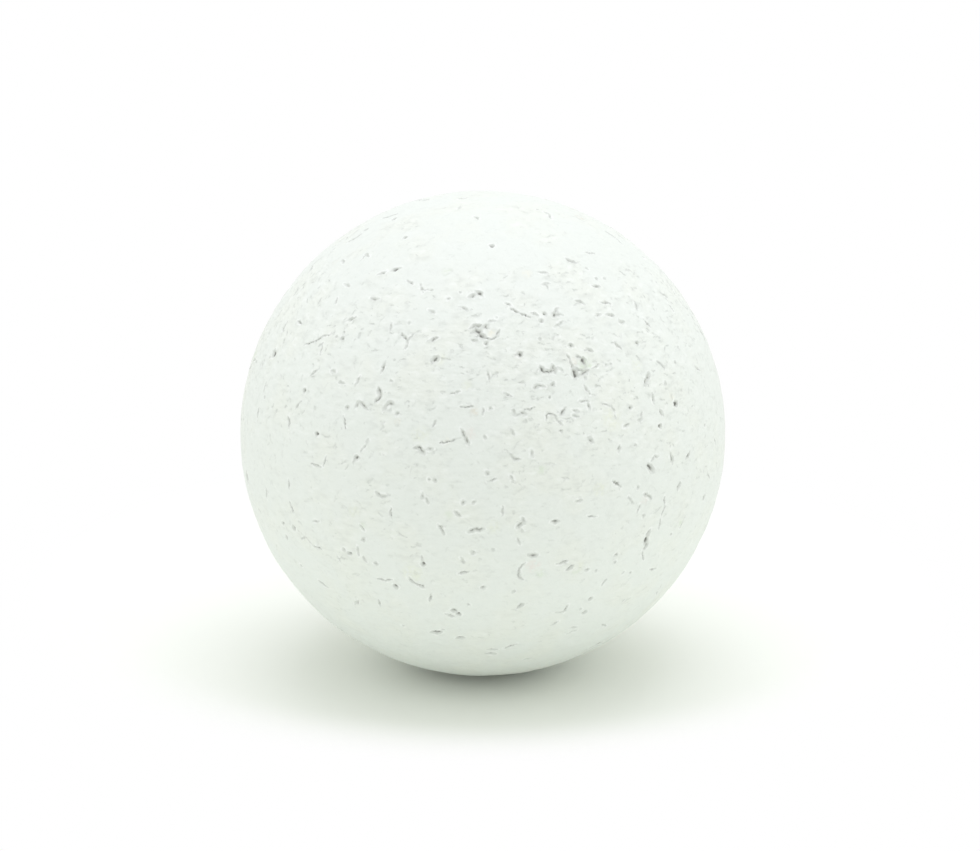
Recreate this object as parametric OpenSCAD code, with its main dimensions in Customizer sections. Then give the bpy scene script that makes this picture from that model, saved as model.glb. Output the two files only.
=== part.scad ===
// Table football ball: one solid ball of cork, painted white.
// The paint bridges only the finest gaps between the cork granules, so pores,
// slits and bent cracks stay open all round the surface.
// The origin is the ball's centre, +Z is up, and longitude 0 faces -Y.

/* [Ball] */
// Diameter of the ball
ball_d = 35; // [29:0.5:42]

/* [Pores] */
// Height of a pore's round cutter above the surface, as a share of the pore's mouth
pore_lift = 0.08; // [0:0.02:0.16]
// Smallest mouth of a scattered pore
pore_min = 0.2; // [0.16:0.02:0.24]
// Largest mouth of a scattered pore
pore_max = 0.46; // [0.36:0.02:0.56]
// Number of pores scattered round the whole ball, of which the front's are left out
pore_count = 190; // [0:10:220]

/* [Cracks] */
// Depth of a crack for each millimetre of its width
crack_depth = 1.5; // [1.2:0.1:1.8]
// Extra length of each straight run, so that the runs of a bent crack join
crack_overlap = 0.16; // [0.12:0.02:0.2]
// Narrowest scattered crack
crack_min = 0.12; // [0.1:0.01:0.14]
// Widest scattered crack
crack_max = 0.3; // [0.24:0.02:0.36]
// Longest run of a scattered crack
crack_run = 0.9; // [0.7:0.05:1.1]
// Share of its length that each further run of a scattered crack keeps
run_fade = 0.74; // [0.6:0.02:0.9]
// Number of cracks scattered round the whole ball, of which the front's are left out
crack_count = 200; // [0:10:220]

/* [Hidden] */
$fn = 48;

ball_r = ball_d / 2;
mm_per_deg = PI * ball_r / 180;
pore_seed = 11;
crack_seed = 23;

// Scattered marks lie on a spiral that steps round by the golden angle, and each is
// nudged off it. The front is left to the marks placed by hand below.
golden_turn = 137.508;
front_lat = 8;
front_reach = 76;
// Least and most that a scattered crack turns at the end of a run.
bend_min = 28;
bend_max = 72;
// The sphere's own edge runs down the back, from pole to pole, and marks stay clear of it.
back_clear = 0.9;
pole_clear = 4;

// Round pores on the front, where granules have dropped out: [longitude, latitude, mouth]
pores = [
    [10.5, 36, 0.44], [28.5, 33, 0.54], [27, 34, 0.24], [28, 29, 0.24], [18.5, 28.5, 0.34],
    [17, 25.5, 0.24], [2, 23.5, 0.26], [0.5, 17, 0.22], [19, 17.5, 0.24], [1, 9, 0.3], [-4.5, 2, 0.3],
    [-2, 2, 0.24], [-11, 7, 0.28], [-12.5, 7, 0.2], [-70.3, 26, 0.6], [-50.5, 22, 0.4],
    [-35.3, 20.7, 0.34], [-43, 13.2, 0.4], [-30.7, 10, 0.46], [-67, 16, 0.22], [53, 23, 0.28],
    [54.7, 17.8, 0.54], [47.2, 14.1, 0.4], [39, 20.2, 0.38], [38.5, 11.5, 0.22], [38.5, 1.5, 0.24],
    [65.5, -8, 0.44], [66, 9.5, 0.24], [65, 29, 0.2], [60, 26.5, 0.24], [20.6, 45.6, 0.34],
    [24, 45.1, 0.42], [25, 46, 0.3], [19, 44, 0.28], [26.2, 36.8, 0.42], [17, 39.5, 0.24], [1, 39, 0.3],
    [-44, 36, 0.3], [-46.5, 36, 0.22], [-44.5, 37.5, 0.24], [48.5, 34, 0.32], [35, 31, 0.22],
    [-23.5, 43, 0.24], [-50, 66, 0.34], [5.5, 67, 0.32], [48, 52, 0.26], [52, 51.5, 0.22],
    [47.5, 55.5, 0.22], [-8, 52, 0.18], [4.5, 45.5, 0.18], [0.1, -20, 0.36], [-2.2, -10.4, 0.3],
    [-14.3, -14, 0.42], [-51.3, -11.8, 0.42], [-55.5, -15.5, 0.36], [-56, -12, 0.32],
    [-33.5, -14, 0.36], [-35, -13.5, 0.28], [-26.5, -15.5, 0.28], [-29, -9.6, 0.3], [-22, -21.5, 0.4],
    [-15, -20.5, 0.3], [-23, -35, 0.24], [-47, -51, 0.34], [-53, -22.5, 0.22], [33.5, -14.5, 0.32],
    [33.5, -16.5, 0.22], [26, -17.5, 0.3], [28.5, -18, 0.26], [29, -26.4, 0.42], [28.5, -31, 0.34],
    [27, -29.5, 0.22], [37, -20.5, 0.24], [39.5, -21, 0.2], [51.5, -13.5, 0.26], [-7.5, -27.5, 0.46],
    [-6.3, -28.7, 0.42], [-11.5, -35, 0.2], [7.5, -21.5, 0.2], [-3.5, -25.5, 0.2], [9, -5, 0.22],
    [40.5, -6, 0.22], [41, -30, 0.2], [-21.5, 21.5, 0.28], [25.3, 29.8, 0.46], [36.4, 31, 0.22],
    [42.6, 5.2, 0.44], [49.9, 6, 0.34], [-24.6, 28.6, 0.26], [-0.8, 42, 0.36], [1.3, 42.9, 0.28],
    [-12.5, 50.3, 0.22], [2.2, -9.6, 0.22], [45.8, -50.8, 0.58], [47.6, -50, 0.54], [46.6, -49.4, 0.4]
];

// Cracks on the front, each bent at the places given: [width, [longitude, latitude], ...]
cracks = [
    // Upper front
    [0.28, [-3.5, 42.9], [-2.1, 43.6], [-0.4, 43.1]], [0.38, [-2, 42.5], [-1, 41], [0.5, 40.5]],
    [0.18, [0.5, 40.5], [2.3, 39.8], [4.4, 40.6], [5, 42]], [0.24, [0.5, 43], [1.5, 43.5]],
    [0.18, [-3, 41.5], [-2, 42]], [0.16, [2.5, 44.5], [4, 44.5]], [0.16, [-3, 39.5], [-2, 39.5]],
    [0.28, [-4.5, 51], [-3, 51.5]], [0.32, [-2, 52.5], [-0.5, 51.5]], [0.16, [8, 49], [9.5, 48.5]],
    [0.24, [9.5, 47.5], [12, 46.5]], [0.14, [12, 46.5], [15.5, 45]], [0.2, [16.5, 46], [18, 45.5]],
    [0.18, [23, 42], [24.5, 42.5], [26, 43]], [0.22, [-7, 48], [-5.5, 47.5]],
    [0.22, [25, 57], [27.5, 56.5]], [0.2, [24, 53.5], [26, 53.5]], [0.16, [25, 53.5], [25, 52]],
    [0.26, [42, 59.5], [44, 58]], [0.2, [-9, 79], [-5, 78]], [0.24, [-16, 39], [-13.5, 40]],
    [0.18, [-25, 40], [-22.5, 38.5], [-22.5, 37]], [0.18, [-21.5, 40], [-22.5, 38.5]],
    [0.34, [-40, 56], [-38, 57]], [0.26, [-45, 54], [-43, 55]], [0.22, [-62, 57.5], [-59, 57.5]],
    [0.16, [-61.5, 57.5], [-60.5, 56]], [0.22, [-71, 53], [-69, 53]], [0.2, [-57, 48.5], [-54.5, 48.5]],
    [0.16, [-55.5, 44.5], [-54.5, 43.5]], [0.2, [-41.5, 47.5], [-38.5, 47.5]],
    [0.22, [-45.5, 40.5], [-43.5, 41.5]], [0.16, [-29.5, 42], [-29, 40.5]],
    [0.24, [-67, 35.5], [-64.5, 35.5]], [0.26, [-73, 33.5], [-72.5, 31]],
    [0.2, [-30.5, 54], [-28.5, 53.5]], [0.16, [-57.5, 31.5], [-54, 33.5], [-52, 35], [-49.5, 36]],
    [0.14, [-50.5, 33.5], [-49.5, 31]], [0.2, [55.5, 59.5], [58.5, 58.5]],
    [0.24, [44, 50.5], [46.5, 50]], [0.2, [34, 47.7], [36, 46.7]], [0.22, [43, 46], [46, 45]],
    [0.26, [56, 41.5], [57, 43]], [0.26, [75, 41], [77, 40]], [0.2, [74, 38], [74, 36]],
    [0.2, [38.5, 43], [40, 43]], [0.24, [42.5, 42.5], [44.5, 42]],
    [0.2, [46, 40.5], [46.5, 39.5], [47.5, 39.5]], [0.18, [56, 38.5], [57, 36.5]],
    [0.2, [40.5, 35.5], [41.5, 34]], [0.16, [53, 28.5], [54.5, 26.5]], [0.18, [24, 45.5], [25.5, 46.6]],
    [0.18, [24.6, 45], [26.5, 44.6]], [0.2, [-17.8, 46.7], [-16.6, 46.3]],
    [0.18, [-24.5, 53.3], [-22.5, 51.3]], [0.14, [-22, 52], [-19.5, 52.2]],
    // Middle of the front, right of its centre line
    [0.3, [16, 32.5], [16.5, 31.5], [18, 31.5], [20, 32]], [0.18, [1.5, 32], [1.5, 30.5]],
    [0.26, [19.3, 32.7], [19.7, 31.2]], [0.16, [21.1, 32], [21.8, 31.1]],
    [0.16, [27.2, 34.2], [27.9, 33.6]], [0.16, [25.4, 31.6], [27, 30.9], [28.6, 29.9]],
    [0.2, [25.4, 23.8], [27, 23.5]], [0.18, [27, 22.8], [27.3, 21.8]], [0.18, [22.8, 21.9], [24, 21.6]],
    [0.18, [22.6, 20.7], [24, 20.3]], [0.22, [36, 16.2], [37.4, 16.6]],
    [0.2, [13.5, 28], [14.5, 28.5], [16, 28]], [0.16, [5.5, 27], [7, 26.5]],
    [0.14, [0, 23.5], [0, 22.5]], [0.18, [7.5, 23], [8, 22], [9, 22]], [0.28, [9.5, 22.5], [10.5, 22]],
    [0.12, [10.5, 23], [13, 23.5]],
    [0.16, [15.5, 20.5], [16, 22], [17.5, 21.5], [18.5, 20], [19.5, 19]],
    [0.28, [19.5, 21.5], [20.5, 22.5]], [0.16, [7, 18.5], [7.5, 17.5]],
    [0.2, [6.5, 13], [7.5, 12], [8.5, 12]], [0.2, [11.5, 13.5], [11.5, 12.5]],
    [0.18, [1.5, 7], [3, 7.5]], [0.2, [6.5, 8], [7, 7]], [0.14, [4.5, 1], [4.5, -1]],
    [0.4, [25, 31], [25, 29.5]], [0.18, [24.3, 34.8], [24.6, 33], [25, 31.5]],
    [0.3, [27, 30], [29, 30.5]], [0.22, [31, 35.5], [32, 35]], [0.2, [31, 31], [33, 31.5]],
    [0.28, [45.5, 24.5], [47, 25.5], [48, 26.5]], [0.2, [47, 21.5], [47, 20]],
    [0.24, [48.5, 17.5], [49, 16.5]], [0.2, [40.5, 17], [41.5, 17], [42, 18]],
    [0.12, [31, 22.5], [33.5, 21.5], [34, 20], [34, 18.5]], [0.18, [27, 27], [28, 25.5]],
    [0.28, [26, 15], [26.7, 14.3]], [0.18, [33.5, 11], [34, 12]], [0.4, [42, 6], [43, 4.5]],
    [0.16, [43, 7], [44, 7.5], [45, 7.5]], [0.32, [49.6, 7], [50, 5]], [0.26, [55.5, 4.5], [57, 5.5]],
    [0.2, [31.5, 4.5], [33.5, 2.5]], [0.18, [69.5, 23], [71, 21.5]], [0.2, [22, 1], [23, 1]],
    [0.18, [71.5, 4.5], [72, 3]], [0.16, [66, -2], [67.5, -3.5]], [0.2, [52.5, -1], [52, -2]],
    // Middle of the front, left of its centre line
    [0.34, [-13.8, 34.5], [-12.8, 35]], [0.16, [-8, 27], [-6, 27.5]], [0.14, [-5.5, 24], [-2.5, 24]],
    [0.26, [-5, 18.5], [-4, 17], [-3.5, 15.5]], [0.15, [-5.5, 17], [-7.5, 16], [-10, 15.5]],
    [0.28, [-16, 14], [-14.5, 14], [-14, 13]], [0.2, [-13, 14], [-12, 14]],
    [0.18, [-12, 19.5], [-11.5, 20.5]], [0.22, [-6, -0.5], [-5.5, -1]], [0.18, [-14, 3.5], [-14, 2.5]],
    [0.18, [-13, 2.5], [-12.5, 1.5]], [0.24, [-28, 30.5], [-27.5, 32.5]],
    [0.3, [-27.5, 26.5], [-26.5, 25], [-27.5, 23.5]],
    [0.28, [-33, 21.5], [-32.5, 22.5], [-31.5, 22.5], [-30, 21.5]],
    [0.28, [-25, 22], [-24, 23.5], [-23, 23.5]], [0.12, [-36, 19], [-34.5, 16]],
    [0.18, [-39.5, 26], [-38.5, 26]], [0.18, [-34.5, 26.5], [-34, 28]],
    [0.22, [-54, 14.5], [-53, 12.5]], [0.16, [-31.5, 9.5], [-31.5, 8.5]], [0.2, [-43.5, 6], [-41, 6]],
    [0.16, [-40, 6.5], [-39.5, 8.5]], [0.2, [-69, 12.5], [-69, 11]], [0.2, [-68.5, 19], [-68.5, 17.5]],
    [0.48, [-76.5, -5.5], [-76.5, -7.5]], [0.28, [-62, -5], [-62, -7]],
    [0.18, [-51.5, 0], [-51.5, -1.5]], [0.2, [-51.5, -5.5], [-50.5, -7.5]],
    [0.18, [-25, 2.5], [-24, 2], [-23, 2]], [0.18, [-21.5, -0.5], [-21.5, -3]],
    [0.2, [-50, 26], [-48.5, 27]], [0.2, [-43, 28], [-42, 28]], [0.18, [-52, 17.5], [-51, 19]],
    [0.24, [-75, 24], [-75, 20.5]], [0.16, [-29.6, 11.8], [-28.8, 13]],
    [0.16, [-28.6, 13.6], [-28.2, 14.3]],
    // Lower front, right of its centre line
    [0.26, [40.5, -0.5], [41.5, -1], [42.5, -2]], [0.16, [36, -0.5], [37, -2]],
    [0.18, [39, -3], [38.5, -4.5]], [0.16, [47, -3], [47.5, -5]],
    [0.12, [47.5, -5], [46.5, -7.5], [46, -10.5]], [0.26, [8, -4], [9, -3]], [0.16, [9, -2], [9.5, -3]],
    [0.28, [16, -3.5], [17.5, -3.5]], [0.3, [11, -11.5], [12.5, -11.5]],
    [0.14, [10, -13.5], [8.5, -15]], [0.2, [8.5, -15], [8.5, -17], [9.5, -18]],
    [0.22, [20.5, -16.5], [22, -15.5]], [0.22, [18, -14.5], [20, -14]],
    [0.3, [43, -10.5], [42.5, -11.5]], [0.4, [42.5, -12], [42.5, -13.5]],
    [0.26, [43, -14], [42.5, -15]], [0.16, [42, -16], [43, -18]], [0.18, [32, -21.5], [31.5, -22.5]],
    [0.2, [47, -22], [49, -22.5]], [0.16, [56.5, -10.5], [55, -12.5]], [0.16, [57, -29.5], [57.5, -33]],
    [0.2, [26, -36.5], [27.5, -36.5]], [0.2, [26.5, -38.5], [28.5, -38]], [0.2, [38, -38], [40, -39]],
    [0.4, [45.5, -51.2], [48, -49.8]], [0.18, [25, -3], [27, -3.5]], [0.26, [9, -26.5], [10, -25.5]],
    [0.22, [20, -29.5], [22, -29.5], [22.5, -27.5]], [0.24, [2, -43.2], [4, -43.2]],
    [0.32, [1.7, -45.3], [3.7, -45.3]], [0.22, [7, -42.5], [10, -41]],
    [0.28, [15.5, -50], [17.5, -49.5]], [0.18, [19.5, -34], [21, -33]], [0.16, [8, -7], [8.4, -8.2]],
    // Lower front, left of its centre line
    [0.28, [-3, -5], [-2, -4.5], [0, -4.5]], [0.22, [-10, -4], [-9, -5.5]],
    [0.16, [-14.5, -12], [-14.5, -13.5]], [0.22, [-5.5, -16], [-3.5, -15.5]],
    [0.2, [-5, -12], [-4.5, -13]], [0.2, [-18, -18.5], [-17, -19.5], [-15, -20.5]],
    [0.18, [-13, -23], [-13.5, -24.5]], [0.26, [-9.5, -29], [-8, -29.8]],
    [0.4, [-14.5, -36.4], [-12.5, -36]], [0.26, [-7.5, -38], [-5.7, -37.8]],
    [0.12, [-49, -14], [-47, -13], [-45, -14.5], [-42, -15]], [0.2, [-43.5, -8], [-42, -7.5]],
    [0.16, [-31, -12], [-31, -14]], [0.16, [-29.5, -14.5], [-29, -15.5]],
    [0.18, [-37.5, -15.5], [-37, -17]], [0.16, [-29.5, -6], [-28.5, -7]],
    [0.18, [-28, -27], [-28, -28.5]], [0.22, [-36.5, -30], [-35, -28.5]],
    [0.24, [-47, -25.5], [-45, -26.5]], [0.18, [-26.5, -20], [-24.5, -20], [-23, -19.5]]
];

// Moves its children from the origin to the ball's surface, their X to the east and Z outwards.
module on_surface(lon, lat, turn = 0) {
    rotate([90 - lat, 0, lon])
        rotate([0, 0, turn])
            translate([0, 0, ball_r])
                children();
}

// Round cutter of a pore.
module pore(mouth) {
    translate([0, 0, pore_lift * mouth])
        sphere(d = mouth);
}

// Thin lens, standing on edge. Below the surface it leaves a slit along X that comes to
// a point at both ends and at the bottom.
module slit(length, width, depth) {
    rim_r = (length * length / 4 + depth * depth) / (2 * depth);
    // The lens is at its thickest at its middle, which lies above the surface.
    thick = width / (1 - pow(1 - depth / rim_r, 2));
    side_r = (rim_r * rim_r + thick * thick / 4) / thick;
    translate([0, 0, rim_r - depth])
        intersection() {
            translate([0, side_r - thick / 2, 0])
                sphere(r = side_r);
            translate([0, thick / 2 - side_r, 0])
                sphere(r = side_r);
        }
}

// One straight run of a crack between two places on the surface.
module crack_run_between(width, from, to) {
    mid = (from + to) / 2;
    east = (to[0] - from[0]) * cos(mid[1]) * mm_per_deg;
    north = (to[1] - from[1]) * mm_per_deg;
    on_surface(mid[0], mid[1], atan2(north, east))
        slit(norm([east, north]) + crack_overlap + width / 2, width, width * crack_depth);
}

// A crack through all the places in its row.
module crack(row) {
    for (i = [1 : len(row) - 2])
        crack_run_between(row[0], row[i], row[i + 1]);
}

// Longitude and latitude of one step of the spiral, nudged by part of a step.
function spiral(i, count, nudge) =
    [(i * golden_turn + nudge) % 360 - 180, asin(1 - 2 * (i + 0.5) / count)];

// Cosine of the angle between a place and the middle of the front.
function front_cosine(p) =
    sin(p[1]) * sin(front_lat) + cos(p[1]) * cos(front_lat) * cos(p[0]);

function off_front(p) = front_cosine(p) < cos(front_reach);

function off_edge(p, reach) =
    abs(p[1]) < 90 - pole_clear
    && (180 - abs(p[0])) * cos(p[1]) * mm_per_deg > back_clear + reach;

module scattered_pores() {
    mouths = rands(pore_min, pore_max, pore_count + 1, pore_seed);
    nudges = rands(-20, 20, pore_count + 1, pore_seed + 1);
    for (i = [0 : 1 : pore_count - 1]) {
        place = spiral(i, pore_count, nudges[i]);
        if (off_front(place) && off_edge(place, mouths[i]))
            on_surface(place[0], place[1])
                pore(mouths[i]);
    }
}

module scattered_cracks() {
    widths = rands(crack_min, crack_max, crack_count + 1, crack_seed);
    runs = rands(crack_run / 3, crack_run, crack_count + 1, crack_seed + 1);
    turns = rands(0, 180, crack_count + 1, crack_seed + 2);
    bends = rands(bend_min, bend_max, crack_count + 1, crack_seed + 3);
    nudges = rands(-25, 25, crack_count + 1, crack_seed + 4);
    for (i = [0 : 1 : crack_count - 1]) {
        place = spiral(i, crack_count, nudges[i] + golden_turn / 2);
        if (off_front(place) && off_edge(place, 2 * runs[i]))
            crack(zigzag(place, widths[i], runs[i], turns[i], bends[i], 1 + i % 3));
    }
}

// Row of a crack that starts at a place and turns by the bend and back, run after run.
function zigzag(place, width, run, turn, bend, runs) =
    concat([width], [for (k = [0 : runs]) place + zigzag_end(place[1], run, turn, bend, k)]);

// How far east and north the first k runs of a zigzag lead, in degrees.
function zigzag_end(lat, run, turn, bend, k) =
    k == 0 ? [0, 0]
    : zigzag_end(lat, run, turn, bend, k - 1)
        + degrees_along(lat, run * pow(run_fade, k - 1), turn + bend * ((k - 1) % 2));

function degrees_along(lat, length, turn) =
    length / mm_per_deg * [cos(turn) / cos(lat), sin(turn)];

module cork_ball() {
    color("#f0f4ee")
        difference() {
            rotate([0, 0, 90])
                sphere(r = ball_r, $fn = 128);
            for (p = pores)
                on_surface(p[0], p[1])
                    pore(p[2]);
            for (row = cracks)
                crack(row);
            scattered_pores();
            scattered_cracks();
        }
}

cork_ball();
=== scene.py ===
"""Table football ball: one solid ball of cork under a coat of white paint.

The paint bridges the finest gaps between the cork granules and leaves the wider pores
and cracks open. The CAD ball says where those are. Here they get rough outlines, raised rims of
paint with painted highlights, and dusty grey floors darkened by painted shade, in a skin that
keeps the grain of the cork.
Lengths on the ball are in millimetres, and everything in Blender is in metres.
"""

import math

import bmesh
import bpy
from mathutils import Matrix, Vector, noise
from mathutils.bvhtree import BVHTree
from mathutils.kdtree import KDTree


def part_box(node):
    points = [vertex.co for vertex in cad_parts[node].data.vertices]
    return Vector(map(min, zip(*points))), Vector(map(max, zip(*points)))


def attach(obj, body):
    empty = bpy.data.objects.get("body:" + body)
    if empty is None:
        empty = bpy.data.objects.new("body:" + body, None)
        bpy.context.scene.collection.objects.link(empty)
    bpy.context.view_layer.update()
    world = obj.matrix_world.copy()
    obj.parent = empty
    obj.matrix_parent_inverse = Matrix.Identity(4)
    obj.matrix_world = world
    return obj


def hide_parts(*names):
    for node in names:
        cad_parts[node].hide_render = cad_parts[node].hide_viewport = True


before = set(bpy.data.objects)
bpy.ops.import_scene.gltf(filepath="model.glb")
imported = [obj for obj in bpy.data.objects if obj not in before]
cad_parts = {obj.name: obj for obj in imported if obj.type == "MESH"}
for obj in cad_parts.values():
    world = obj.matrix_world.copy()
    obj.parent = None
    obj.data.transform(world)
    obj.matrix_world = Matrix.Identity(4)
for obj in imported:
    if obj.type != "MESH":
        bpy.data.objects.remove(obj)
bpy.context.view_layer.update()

NODE = "cork_ball"
MM = 0.001

low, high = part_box(NODE)
BALL_R = max(*high, *(-side for side in low)) / MM


# ---------------------------------------------------------------- places on the ball


def direction(longitude, latitude):
    """Unit vector to a place on the ball. Longitude 0 faces -Y, and east is towards +X."""
    lon, lat = math.radians(longitude), math.radians(latitude)
    return Vector((math.cos(lat) * math.sin(lon), -math.cos(lat) * math.cos(lon), math.sin(lat)))


def smooth(value, start, end):
    """0 up to the start, 1 from the end on, and a soft step between them."""
    share = min(max((value - start) / (end - start), 0.0), 1.0)
    return share * share * (3 - 2 * share)


# ---------------------------------------------------------------- the skin as a mesh

# Fineness of the sphere before it is refined
SPHERE_STEPS = 7
# Corners of the CAD mesh this near to each other are one place.
SAME_PLACE = 0.0005
# Edges this near to a pit are halved, once for each reach.
REFINE_REACHES = (0.36, 0.17)
# What lies deeper than this below the round surface belongs to a pit.
DEEP = 0.05
# Length of the ray that finds the CAD surface. It starts half of this outside the ball.
RAY_LENGTH = 3.0
# The paint narrows each pit by this much on both sides, here more and there less.
COAT = 0.008
COAT_SPREAD = 0.08
COAT_WAVE = 0.26
# Depth of a pit for each millimetre from its edge, and the depth that dust fills it to.
STEEPNESS = 1.6
FILLED = 0.2
# The noise differs from run to run unless it gets a seed.
NOISE_SEED = 7
# Wander of the pits' outlines: how far, and the length of one wave.
OUTLINES = ((0.09, 0.45), (0.075, 0.2))
# Ridge of paint round each pit, highest at half its reach
RIM_HEIGHT = 0.02
RIM_REACH = 0.2
# Swell of the skin over the cork granules: height, and the length of one wave.
SWELLS = ((0.04, 3.2), (0.035, 1.3), (0.01, 0.55))


def tree_of(places):
    """Tree that finds the nearest of the places."""
    tree = KDTree(len(places))
    for index, place in enumerate(places):
        tree.insert(place, index)
    tree.balance()
    return tree


class CadBall:
    """The CAD ball's surface, asked whether a place lies in a pit and how far from its edge."""

    def __init__(self, node):
        copy = bmesh.new()
        copy.from_mesh(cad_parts[node].data)
        bmesh.ops.scale(copy, vec=(1 / MM, 1 / MM, 1 / MM), verts=copy.verts)
        bmesh.ops.remove_doubles(copy, verts=copy.verts, dist=SAME_PLACE)
        self.tree = BVHTree.FromBMesh(copy)
        deep, shallow = [], []
        for v in copy.verts:
            (deep if v.co.length < BALL_R - DEEP else shallow).append(v.co.normalized())
        self.pits = tree_of(deep)
        self.skin = tree_of(shallow)
        copy.free()

    def gap_to_pit(self, way):
        """Distance to the nearest place that lies in a pit."""
        return self.pits.find(way)[2] * BALL_R

    def inside(self, way):
        """How far inside the edge of a pit the place lies, and 0 outside the pits."""
        hit = self.tree.ray_cast(way * (BALL_R + RAY_LENGTH / 2), -way, RAY_LENGTH)[0]
        if not hit or hit.length > BALL_R - DEEP:
            return 0.0
        return min(self.skin.find(way)[2] * BALL_R, BALL_R - hit.length)


def wandered(way):
    """A direction pushed a little sideways, so that outlines read there come out rough."""
    place = way * BALL_R
    for far, wave in OUTLINES:
        place += noise.noise_vector(way * (BALL_R / wave)) * far
    return place.normalized()


def swell(way):
    """Height of the granules' low swell in a direction."""
    return sum(height * noise.noise(way * (BALL_R / wave)) for height, wave in SWELLS)


def left_open(inside, way):
    """Distance from the edge of what the paint leaves open of a pit."""
    coat = COAT + COAT_SPREAD * noise.noise(way * (BALL_R / COAT_WAVE))
    return max(inside - max(coat, 0.0), 0.0)


def refined_sphere(cad):
    """Sphere of radius 1 with its triangles made smaller round the pits."""
    bm = bmesh.new()
    bmesh.ops.create_icosphere(bm, subdivisions=SPHERE_STEPS, radius=1)
    for reach in REFINE_REACHES:
        near = {v for v in bm.verts if cad.gap_to_pit(wandered(v.co)) < reach}
        edges = [e for e in bm.edges if e.verts[0] in near or e.verts[1] in near]
        bmesh.ops.subdivide_edges(bm, edges=edges, cuts=1, use_grid_fill=True)
        bmesh.ops.triangulate(bm, faces=[f for f in bm.faces if len(f.verts) > 3])
        for v in bm.verts:
            v.co.normalize()
    return bm


def sink_pits(bm, cad):
    """Moves the skin to its depth, and keeps what the paint needs to know in layers."""
    pit = bm.verts.layers.float.new("pit")
    rim = bm.verts.layers.float.new("rim")
    for v in bm.verts:
        read_at = wandered(v.co)
        v[pit] = left_open(cad.inside(read_at), v.co)
        v[rim] = 1 - smooth(cad.gap_to_pit(read_at), 0.0, RIM_REACH)
        sunk = FILLED * (1 - math.exp(-v[pit] * STEEPNESS / FILLED))
        raised = 4 * RIM_HEIGHT * v[rim] * (1 - v[rim])
        v.co *= (BALL_R + swell(v.co) - sunk + raised) * MM


# ---------------------------------------------------------------- coloured granules

# Colours that show where the paint is thin
GREY = (0.60, 0.62, 0.56)
BEIGE = (0.72, 0.64, 0.50)
PINK = (0.84, 0.70, 0.66)
CREAM = (0.88, 0.85, 0.70)
STRAW = (0.80, 0.84, 0.67)
OLIVE = (0.55, 0.70, 0.44)
# Granules placed one by one: longitude, latitude, radius, strength, colour
GRANULES = (
    (-2, 23, 0.3, 0.4, BEIGE), (2.7, 41.6, 0.36, 0.45, CREAM), (12, -14.5, 0.6, 0.3, PINK),
    (40.5, -2, 0.35, 0.25, PINK), (-8.5, 16, 0.3, 0.3, CREAM), (-21, 19.5, 0.3, 0.3, CREAM),
    (54, 19.5, 0.35, 0.3, CREAM), (19, 57, 0.4, 0.3, CREAM), (13.6, 9.3, 0.35, 0.3, OLIVE),
    (23, -17, 0.3, 0.35, OLIVE), (55, -11.5, 0.3, 0.3, OLIVE), (-29, -6, 0.3, 0.25, OLIVE),
    (-16, 58, 0.3, 0.25, OLIVE), (27, 32.5, 0.55, 0.3, GREY), (25.5, 30.5, 0.3, 0.4, GREY),
    (23.5, 44.5, 0.4, 0.3, GREY), (21.5, 43, 0.35, 0.25, GREY), (-1.5, 41.5, 0.35, 0.3, GREY),
    (17, 27.5, 0.4, 0.25, GREY), (57, 29, 0.4, 0.2, GREY), (28.5, 32, 0.6, 0.5, OLIVE),
    (25.5, 33, 0.35, 0.4, BEIGE), (-3, 18, 0.45, 0.25, PINK), (14, -17, 0.35, 0.35, OLIVE),
    (33, 18.5, 0.8, 0.4, STRAW), (-17, -17, 0.8, 0.4, STRAW), (28, 3, 0.6, 0.4, STRAW),
    (2.5, -4, 0.5, 0.35, STRAW), (-12, 35, 0.5, 0.35, STRAW), (-4, 29, 0.4, 0.35, STRAW),
    (-8, -1, 0.35, 0.2, OLIVE), (45, 29, 0.5, 0.35, STRAW), (10, 36, 0.35, 0.25, PINK),
    (-15, 17, 0.7, 0.3, STRAW), (-31, -3, 0.5, 0.35, STRAW), (23.5, -16, 0.5, 0.3, STRAW),
)
# Granules spread on a spiral: how many, and the turn in degrees from one to the next
SCATTERED_GRANULES = 60
GOLDEN_TURN = 137.508
# What they take in turn: the first value, the step and the number of values
SCATTERED_RADIUS = (0.25, 0.06, 5)
SCATTERED_STRENGTH = (0.2, 0.08, 3)
SCATTERED_COLOURS = (CREAM, PINK, BEIGE, OLIVE)
# The scattered granules keep clear of the front, where the placed ones are.
FRONT = (0, 8)
FRONT_COSINE = 0.3
# Shares of a granule's radius between which its tint fades out
TINT_FADE = (0.4, 1.3)


def in_turn(i, first, more, count):
    """One of a few even values, taken in turn."""
    return first + more * (i % count)


def all_granules():
    """The placed granules, and others spread on a spiral over the sides and the back."""
    yield from GRANULES
    for i in range(SCATTERED_GRANULES):
        lon = (i * GOLDEN_TURN) % 360 - 180
        lat = math.degrees(math.asin(1 - 2 * (i + 0.5) / SCATTERED_GRANULES))
        if direction(lon, lat).dot(direction(*FRONT)) < FRONT_COSINE:
            colour = SCATTERED_COLOURS[i % len(SCATTERED_COLOURS)]
            yield lon, lat, in_turn(i, *SCATTERED_RADIUS), in_turn(i, *SCATTERED_STRENGTH), colour


def tint_granules(bm):
    """Colour of each granule in one layer, with its strength as the fourth value."""
    layer = bm.verts.layers.float_color.new("tint")
    fade_start, fade_end = TINT_FADE
    spots = [
        (direction(lon, lat), fade_start * radius, fade_end * radius, strength, paint)
        for lon, lat, radius, strength, paint in all_granules()
    ]
    for v in bm.verts:
        way = wandered(v.co.normalized())
        colour, most = (0.0, 0.0, 0.0), 0.0
        for middle, start, end, strength, paint in spots:
            away = (way - middle).length * BALL_R
            if away < end:
                here = strength * (1 - smooth(away, start, end))
                if here > most:
                    colour, most = paint, here
        v[layer] = (*colour, most)


# ---------------------------------------------------------------- the map of the skin

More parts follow.
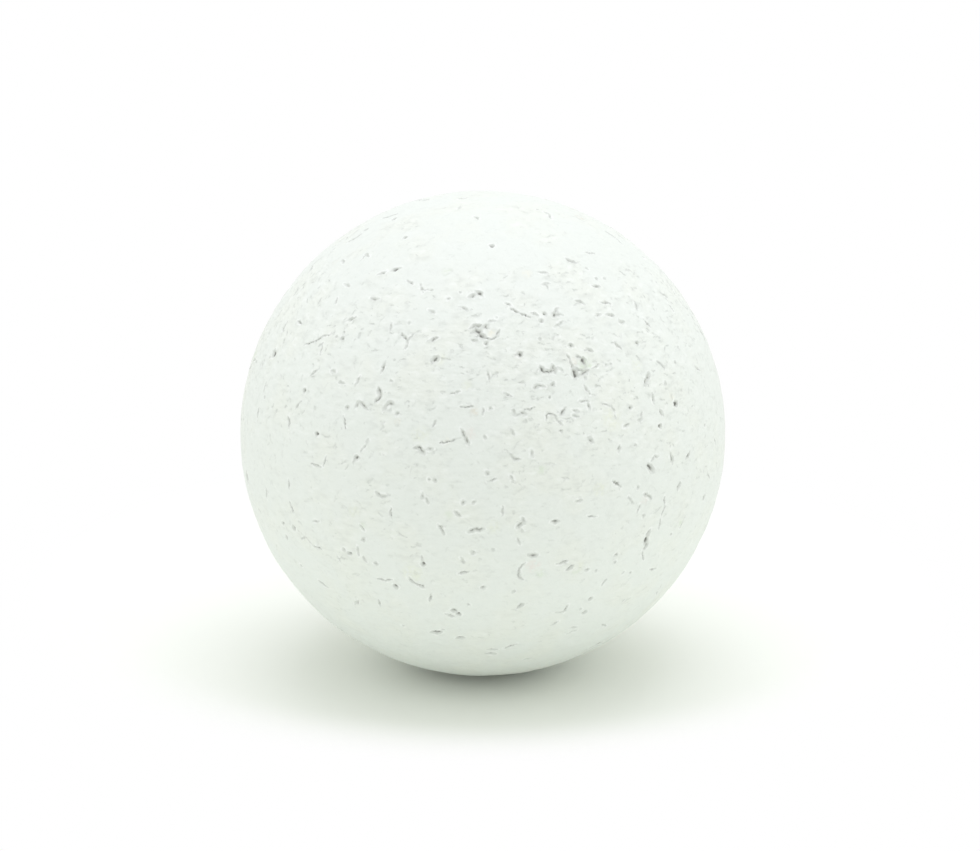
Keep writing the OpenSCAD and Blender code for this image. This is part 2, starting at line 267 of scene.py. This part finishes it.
# The map has a cell for each side of a cube, three across and two down.
ACROSS = 3
DOWN = 2
# Share of a cell that is filled
CELL_FILL = 0.955


def lay_map(bm):
    """Lays each face in the cell of the cube side that it faces, at an even scale."""
    layer = bm.loops.layers.uv.new("OFBake")
    for face in bm.faces:
        middle = face.calc_center_median()
        axis = max(range(3), key=lambda k: abs(middle[k]))
        row = 1 if middle[axis] > 0 else 0
        for loop in face.loops:
            co = loop.vert.co
            across, up = (
                math.atan(co[k] / abs(co[axis])) / (math.pi / 4)
                for k in ((axis + 1) % 3, (axis + 2) % 3)
            )
            loop[layer].uv = (
                (axis + 0.5 + across * CELL_FILL / 2) / ACROSS,
                (row + 0.5 + up * CELL_FILL / 2) / DOWN,
            )


def as_object(bm, name, material):
    """Object at the origin with smooth faces that look outwards."""
    for face in bm.faces:
        face.smooth = True
    bmesh.ops.recalc_face_normals(bm, faces=bm.faces)
    mesh = bpy.data.meshes.new(name)
    bm.to_mesh(mesh)
    bm.free()
    mesh.materials.append(material)
    obj = bpy.data.objects.new(name, mesh)
    bpy.context.scene.collection.objects.link(obj)
    return obj


# ---------------------------------------------------------------- shader arithmetic


class Socket:
    """An output of a node, with arithmetic that adds Math nodes."""

    def __init__(self, shader, output):
        self.shader = shader
        self.output = output

    def math(self, operation, first, second):
        return self.shader.node("Math", {"operation": operation}, {0: first, 1: second})

    def __add__(self, other):
        return self.math("ADD", self, other)

    def __sub__(self, other):
        return self.math("SUBTRACT", self, other)

    def __rsub__(self, other):
        return self.math("SUBTRACT", other, self)

    def __mul__(self, other):
        return self.math("MULTIPLY", self, other)

    def __truediv__(self, other):
        return self.math("DIVIDE", self, other)

    def __rtruediv__(self, other):
        return self.math("DIVIDE", other, self)

    __radd__ = __add__
    __rmul__ = __mul__


class Shader:
    """The node tree of a material or of the world."""

    def __init__(self, owner):
        owner.use_nodes = True
        self.tree = owner.node_tree
        self.tree.nodes.clear()

    def node(self, kind, settings=None, inputs=None, output=0):
        """Adds a node, makes its settings, then fills its sockets with values or links."""
        node = self.tree.nodes.new("ShaderNode" + kind)
        for name, value in (settings or {}).items():
            setattr(node, name, value)
        for name, value in (inputs or {}).items():
            if isinstance(value, Socket):
                self.tree.links.new(value.output, node.inputs[name])
            else:
                node.inputs[name].default_value = value
        return Socket(self, node.outputs[output]) if node.outputs else None

    def step(self, value, start, end):
        """Soft step from 0 to 1 as the value passes from start to end."""
        return self.node(
            "MapRange",
            {"interpolation_type": "SMOOTHSTEP"},
            {"Value": value, "From Min": start, "From Max": end},
        )

    def vector(self, operation, *inputs, output=0, **named):
        """Vector Math node, its sockets filled in order and by name."""
        sockets = {**dict(enumerate(inputs)), **named}
        return self.node("VectorMath", {"operation": operation}, sockets, output)

    def mix(self, share, first, second):
        """Mixes two colours, which have this node's sockets 6 and 7 and its output 2."""
        return self.node(
            "Mix", {"data_type": "RGBA"}, {0: share, 6: first, 7: second}, output=2
        )

    def higher(self, first, second):
        """The higher of two values."""
        return self.node("Math", {"operation": "MAXIMUM"}, {0: first, 1: second})

    def noise(self, vector, wave, detail=2.0, output=0):
        """Noise whose waves have a length in millimetres."""
        return self.node(
            "TexNoise",
            None,
            {"Vector": vector, "Scale": 1 / wave, "Detail": detail},
            output,
        )


def rgba(colour):
    """A colour with its fourth value, full."""
    return (*colour, 1.0)


# ---------------------------------------------------------------- white paint on cork

PAINT = (0.819, 0.861, 0.812)
WARM_PAINT = (0.825, 0.861, 0.798)
# Lighter paint for painted highlights, on the ridges round the pits and on the crinkles
PAINTED_HIGHLIGHT = (0.915, 0.945, 0.910)
# Grey for painted shade, in the creases, on the crinkles and round the pits
PAINTED_SHADE = (0.60, 0.63, 0.59)
DUST = (0.68, 0.705, 0.66)
# Dust in the deep pits, darkened further as painted shade of their depth
DARK_DUST_AND_SHADE = (0.225, 0.23, 0.21)
# Length of one wave of each noise in the paint
WARM_WAVE = 3.0
CROWD_WAVE = 3.0
LUMP_WAVE = 1.0
CRINKLE_WAVE = 0.72
GRIT_WAVE = 0.3
STIPPLE_WAVE = 0.22
CRUMB_WAVE = 0.13
# Fineness of the noises that differ from the usual one
BEND_DETAIL = 1.0
CRINKLE_DETAIL = 1.5
LUMP_DETAIL = 3.0
WARM_DETAIL = 3.0
# The crinkles are this many times as wide as they are high.
CRINKLE_FLATNESS = 2.0
# Creases: size of a cell, reach and width of the crease in it, and the least luck for one.
CREASES = ((1.05, 0.42, 0.12, 0.3), (0.62, 0.22, 0.1, 0.42))
# Luck that would give a crease its full strength: more than any has.
FULL_LUCK = 1.3
# The shortest crease has this share of the stated reach, and the longest a whole one more.
SHORTEST_REACH = 0.25
# Squared shares of a crease's reach between which it gets thin
CREASE_TAPER = (0.2, 1.8)
# A crease is soft to this distance past its edge.
CREASE_SOFTNESS = 0.05
# Wander of a crease: length of one wave and how far, as shares of its cell.
CREASE_WAVE = 0.5
CREASE_WANDER = 0.7
# Steepness of the creases: with less than 1 more of them run level.
CREASE_RISE = 0.55
# Creases get denser with each millimetre of height, and thin out again near the top,
# between two heights less this wander times the noise.
CROWD_RISE = 0.02
CROWD_TOP_WANDER = 14.0
CROWD_TOP = (5.4, 9.0)
CROWD_TOP_LOSS = 0.6
# Share of the creases, crinkles and relief outside a crowd, and what a crowd adds
CREASE_SHARES = (0.28, 0.85)
CRINKLE_SHARES = (0.15, 0.85)
RELIEF_SHARES = (0.35, 0.65)
# Values between which each effect sets in, or between which the glints fade out
CROWD_STEP = (0.25, 0.8)
WORN_STEP = (0.3, 0.65)
WARM_STEP = (0.42, 0.7)
MOTTLE_STEP = (0.3, 0.6)
RIDGE_HIGHLIGHT_STEP = (0.42, 0.62)
PIT_SHADE_STEP = (0.85, 1.45)
CRINKLE_SHADE_STEP = (0.5, 0.76)
GLINT_STEP = (0.24, 0.46)
DUST_STEP = (0.04, 0.12)
DARK_STEP = (0.1, 0.225)
# How strongly each effect covers the paint
RIDGE_HIGHLIGHT_COVER = 3.6
PIT_SHADE_COVER = 0.5
CRINKLE_SHADE_COVER = 0.31
GLINT_COVER = 0.5
# How ragged noise makes the edges of the painted shade round the pits, the dust and the dark
# floors
PIT_SHADE_RAGGED = 0.8
DUST_RAGGED = 0.08
DARK_RAGGED = 0.12
# Relief of the paint, in millimetres
LUMP_HEIGHT = 0.115
CRINKLE_HEIGHT = 0.065
STIPPLE_HEIGHT = 0.003
CREASE_DEPTH = 0.045
# Roughness of the paint, and what lumps and creases add
PAINT_ROUGHNESS = 0.55
LUMP_ROUGHNESS = 0.1
CREASE_ROUGHNESS = 0.3


def flattened(shader, vector, outward):
    """The part of a vector that lies along the surface."""
    return shader.vector("SUBTRACT", vector, shader.vector("PROJECT", vector, outward))


def crease_rods(shader, place, cell, reach, width, least):
    """Short bent strokes, thin at both ends, one to each cell at a random slant."""
    bend = shader.noise(place, CREASE_WAVE * cell, BEND_DETAIL, "Color")
    bent = shader.vector("MULTIPLY_ADD", bend, (CREASE_WANDER * cell,) * 3, place)
    cells = {"Vector": bent, "Scale": 1 / cell}
    middle = shader.node("TexVoronoi", None, cells, "Position")
    luck = shader.node("TexVoronoi", None, cells, "Color")
    # A place's way out of the ball is the place itself, read from the centre.
    slant = shader.vector("SUBTRACT", luck, (0.5, 0.5, 0.5))
    slant = shader.vector("MULTIPLY", slant, (1.0, 1.0, CREASE_RISE))
    slant = shader.vector("NORMALIZE", flattened(shader, slant, place))
    from_middle = flattened(shader, shader.vector("SUBTRACT", bent, middle), place)
    along = shader.vector("DOT_PRODUCT", from_middle, slant, output="Value")
    reach = reach * (SHORTEST_REACH + shader.node("SeparateColor", None, {0: luck}, "Green"))
    held = shader.node("Clamp", None, {"Value": along, "Min": -1 * reach, "Max": reach})
    rod_place = shader.vector("SCALE", slant, Scale=held)
    off_rod = shader.vector("DISTANCE", from_middle, rod_place, output="Value")
    taper = 1 - shader.step(held * held / (reach * reach), *CREASE_TAPER)
    inside = shader.step(taper * width - off_rod, -CREASE_SOFTNESS, width)
    strength = shader.node("SeparateColor", None, {0: luck}, "Red")
    strength = shader.step(strength, least, FULL_LUCK)
    worn = shader.step(shader.noise(place, GRIT_WAVE), *WORN_STEP)
    return inside * strength * worn


def crease_crowd(shader, place):
    """Creases crowd together in patches, most above the middle but off the top."""
    height_up = shader.node("SeparateXYZ", None, {0: place}, "Z")
    patches = shader.noise(place, CROWD_WAVE)
    ragged = height_up - CROWD_TOP_WANDER * patches
    off_top = CROWD_TOP_LOSS * shader.step(ragged, *CROWD_TOP)
    return shader.step(patches + CROWD_RISE * height_up - off_top, *CROWD_STEP)


def crowded(shares, crowd):
    """A share outside a crowd, and more than that in one."""
    outside, added = shares
    return outside + added * crowd


def paint_colour(shader, place, rim, grit, lumps):
    """Warm and cool paint over tinted granules, with painted highlights on the ridges and painted
    shade round the pits.
    """
    tint = shader.node("Attribute", {"attribute_name": "tint"}, output="Color")
    tint_strength = shader.node("Attribute", {"attribute_name": "tint"}, output="Alpha")
    warmth = shader.step(shader.noise(place, WARM_WAVE, WARM_DETAIL), *WARM_STEP)
    colour = shader.mix(warmth, rgba(PAINT), rgba(WARM_PAINT))
    mottled = tint_strength * shader.step(grit, *MOTTLE_STEP)
    colour = shader.mix(mottled, colour, tint)
    # Painted highlights on the ridges of paint round the pits
    ridge_highlight = rim * (1 - rim) * shader.step(grit, *RIDGE_HIGHLIGHT_STEP)
    colour = shader.mix(RIDGE_HIGHLIGHT_COVER * ridge_highlight, colour, rgba(PAINTED_HIGHLIGHT))
    # Painted shade, greyer round the pits
    pit_shade = shader.step(rim + PIT_SHADE_RAGGED * lumps, *PIT_SHADE_STEP)
    return shader.mix(PIT_SHADE_COVER * pit_shade, colour, rgba(PAINTED_SHADE))


def creased(shader, colour, faint, crinkle, crowd):
    """Lays painted shade and painted highlights over the crinkles, and the painted shade of the
    faint creases.
    """
    crinkled = crowded(CRINKLE_SHARES, crowd)
    # Painted shade and painted highlights that stand in for the shading of the crinkles' relief
    crinkle_shade = crinkled * shader.step(crinkle, *CRINKLE_SHADE_STEP)
    glints = crinkled * (1 - shader.step(crinkle, *GLINT_STEP))
    colour = shader.mix(CRINKLE_SHADE_COVER * crinkle_shade, colour, rgba(PAINTED_SHADE))
    colour = shader.mix(GLINT_COVER * glints, colour, rgba(PAINTED_HIGHLIGHT))
    # Painted shade in the faint creases, over the grooves that the bump gives them
    return shader.mix(faint, colour, rgba(PAINTED_SHADE))


def pitted(shader, colour, pit, place, grit):
    """Lays dust in the pits, darkened as painted shade where they are deep."""
    crumbs = shader.noise(place, CRUMB_WAVE)
    dusty = shader.step(pit + DUST_RAGGED * crumbs, *DUST_STEP)
    colour = shader.mix(dusty, colour, rgba(DUST))
    # Dust with painted shade, darkest where the pits are deep
    dark = shader.step(pit + DARK_RAGGED * grit, *DARK_STEP)
    return shader.mix(dark, colour, rgba(DARK_DUST_AND_SHADE))


def painted_cork():
    """Matt white paint with faint creases, painted highlights and painted shade, and dusty pits
    where it leaves the cork open.
    """
    material = bpy.data.materials.new("painted_cork")
    shader = Shader(material)
    metres = shader.node("TexCoord", output="Object")
    place = shader.vector("SCALE", metres, Scale=1 / MM)
    pit = shader.node("Attribute", {"attribute_name": "pit"}, output="Fac")
    rim = shader.node("Attribute", {"attribute_name": "rim"}, output="Fac")
    grit = shader.noise(place, GRIT_WAVE)
    lumps = shader.noise(place, LUMP_WAVE, LUMP_DETAIL)
    layered = shader.vector("MULTIPLY", place, (1.0, 1.0, CRINKLE_FLATNESS))
    crinkle = shader.noise(layered, CRINKLE_WAVE, CRINKLE_DETAIL)
    crowd = crease_crowd(shader, place)
    rods = shader.higher(*(crease_rods(shader, place, *size) for size in CREASES))
    faint = crowded(CREASE_SHARES, crowd) * rods

    colour = paint_colour(shader, place, rim, grit, lumps)
    colour = creased(shader, colour, faint, crinkle, crowd)
    colour = pitted(shader, colour, pit, place, grit)

    relief = LUMP_HEIGHT * lumps + STIPPLE_HEIGHT * shader.noise(place, STIPPLE_WAVE)
    relief = relief + CRINKLE_HEIGHT * crowded(RELIEF_SHARES, crowd) * crinkle
    relief = relief - CREASE_DEPTH * faint
    bump_values = {"Strength": 1.0, "Distance": MM, "Height": relief}
    bump = shader.node("Bump", None, bump_values, "Normal")
    roughness = PAINT_ROUGHNESS + LUMP_ROUGHNESS * lumps + CREASE_ROUGHNESS * faint
    surface = shader.node(
        "BsdfPrincipled",
        None,
        {"Base Color": colour, "Roughness": roughness, "Normal": bump},
    )
    shader.node("OutputMaterial", None, {"Surface": surface})
    return material


# ---------------------------------------------------------------- studio

PAPER = (0.915, 0.936, 0.883)
PAPER_ROUGHNESS = 0.9
WHITE = (1.0, 1.0, 1.0)
# In metres, from the floor's middle to each side
FLOOR_REACH = 3.0
# The floor's shading fades to plain white between two circles round one middle, which
# lies behind the ball. All in ball radii.
FADE_BEHIND = 0.8
FADE_START = 1.5
FADE_END = 2.0
# Strength of the room's light on the ball
DOME = 0.82
# Name, azimuth, elevation, watts, colour
LAMPS = (
    ("left_softbox", -90, 18, 0.24, WHITE),
    ("right_softbox", 90, 18, 0.32, WHITE),
    ("top_softbox", 165, 84, 0.90, (0.92, 0.91, 1.0)),
)
# In metres, from the ball's middle to each lamp, and along a lamp's side
LAMP_DISTANCE = 0.5
LAMP_SIZE = 0.4

# Elevation of the camera, its distance in ball radii, and its sensor's width in millimetres
CAMERA_ELEVATION = 18
CAMERA_RADII = 25.7
SENSOR = 36
# Share of the view's width that the ball's disc takes, and where its middle lies from
# the view's middle, in ball radii to the right and up.
DISC_SHARE = 0.4947
DISC_RIGHT = -0.0297
DISC_UP = -0.0322


def seen_white(shader):
    """1 for what the camera sees directly, in a gloss or through glass, and 0 for light."""
    seen = [
        shader.node("LightPath", output=ray)
        for ray in ("Is Camera Ray", "Is Glossy Ray", "Is Transmission Ray")
    ]
    return shader.higher(shader.higher(seen[0], seen[1]), seen[2])


def paper_floor():
    """Wide sheet of plain paper under the ball."""
    material = bpy.data.materials.new("paper")
    shader = Shader(material)
    metres = shader.node("TexCoord", output="Object")
    ball_r = BALL_R * MM
    fade_middle = (0, FADE_BEHIND * ball_r, -ball_r)
    away = shader.vector("DISTANCE", metres, fade_middle, output="Value")
    far = shader.step(away, FADE_START * ball_r, FADE_END * ball_r)
    paper = shader.node(
        "BsdfPrincipled",
        None,
        {
            "Base Color": rgba(PAPER),
            "Roughness": PAPER_ROUGHNESS,
            "Specular IOR Level": 0.0,
        },
    )
    white = shader.node("Emission", None, {"Color": rgba(WHITE), "Strength": 1.0})
    surface = shader.node(
        "MixShader", None, {0: far * seen_white(shader), 1: paper, 2: white}
    )
    shader.node("OutputMaterial", None, {"Surface": surface})

    bm = bmesh.new()
    bmesh.ops.create_grid(bm, x_segments=1, y_segments=1, size=FLOOR_REACH)
    bmesh.ops.translate(bm, vec=(0, 0, -ball_r), verts=bm.verts)
    as_object(bm, "floor", material)


def light_room():
    """White room with a soft lamp at each side and one overhead."""
    world = bpy.data.worlds.new("white_room")
    bpy.context.scene.world = world
    shader = Shader(world)
    seen = seen_white(shader)
    dome = shader.node(
        "Background",
        None,
        {"Color": rgba(WHITE), "Strength": DOME + (1 - DOME) * seen},
    )
    shader.node("OutputWorld", None, {"Surface": dome})
    for name, azimuth, elevation, watts, colour in LAMPS:
        lamp = bpy.data.lights.new(name, "AREA")
        lamp.shape = "SQUARE"
        lamp.size = LAMP_SIZE
        lamp.energy = watts
        lamp.color = colour
        obj = bpy.data.objects.new(name, lamp)
        bpy.context.scene.collection.objects.link(obj)
        way = direction(azimuth, elevation)
        obj.location = way * LAMP_DISTANCE
        obj.rotation_euler = (-way).to_track_quat("-Z", "Y").to_euler()


def place_camera():
    """Long lens a little above the ball, aimed so that the disc lies off the middle."""
    ball_r = BALL_R * MM
    half_angle = math.asin(1 / CAMERA_RADII)
    data = bpy.data.cameras.new("camera")
    data.sensor_width = SENSOR
    data.lens = SENSOR * DISC_SHARE / 2 / math.tan(half_angle)
    data.clip_start = ball_r
    camera = bpy.data.objects.new("camera", data)
    bpy.context.scene.collection.objects.link(camera)
    way = direction(0, CAMERA_ELEVATION)
    camera.location = way * CAMERA_RADII * ball_r
    up = direction(0, CAMERA_ELEVATION + 90)
    aim = (Vector((1, 0, 0)) * -DISC_RIGHT + up * -DISC_UP) * ball_r
    camera.rotation_euler = (aim - camera.location).to_track_quat("-Z", "Y").to_euler()
    bpy.context.scene.camera = camera


# ---------------------------------------------------------------- the ball


def make_ball():
    """The painted ball, which stands for the CAD ball."""
    noise.seed_set(NOISE_SEED)
    cad = CadBall(NODE)
    bm = refined_sphere(cad)
    tint_granules(bm)
    lay_map(bm)
    sink_pits(bm, cad)
    ball = as_object(bm, "painted_ball", painted_cork())
    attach(ball, "root")
    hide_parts(NODE)


make_ball()
paper_floor()
light_room()
place_camera()
bpy.context.scene.view_settings.view_transform = "Standard"
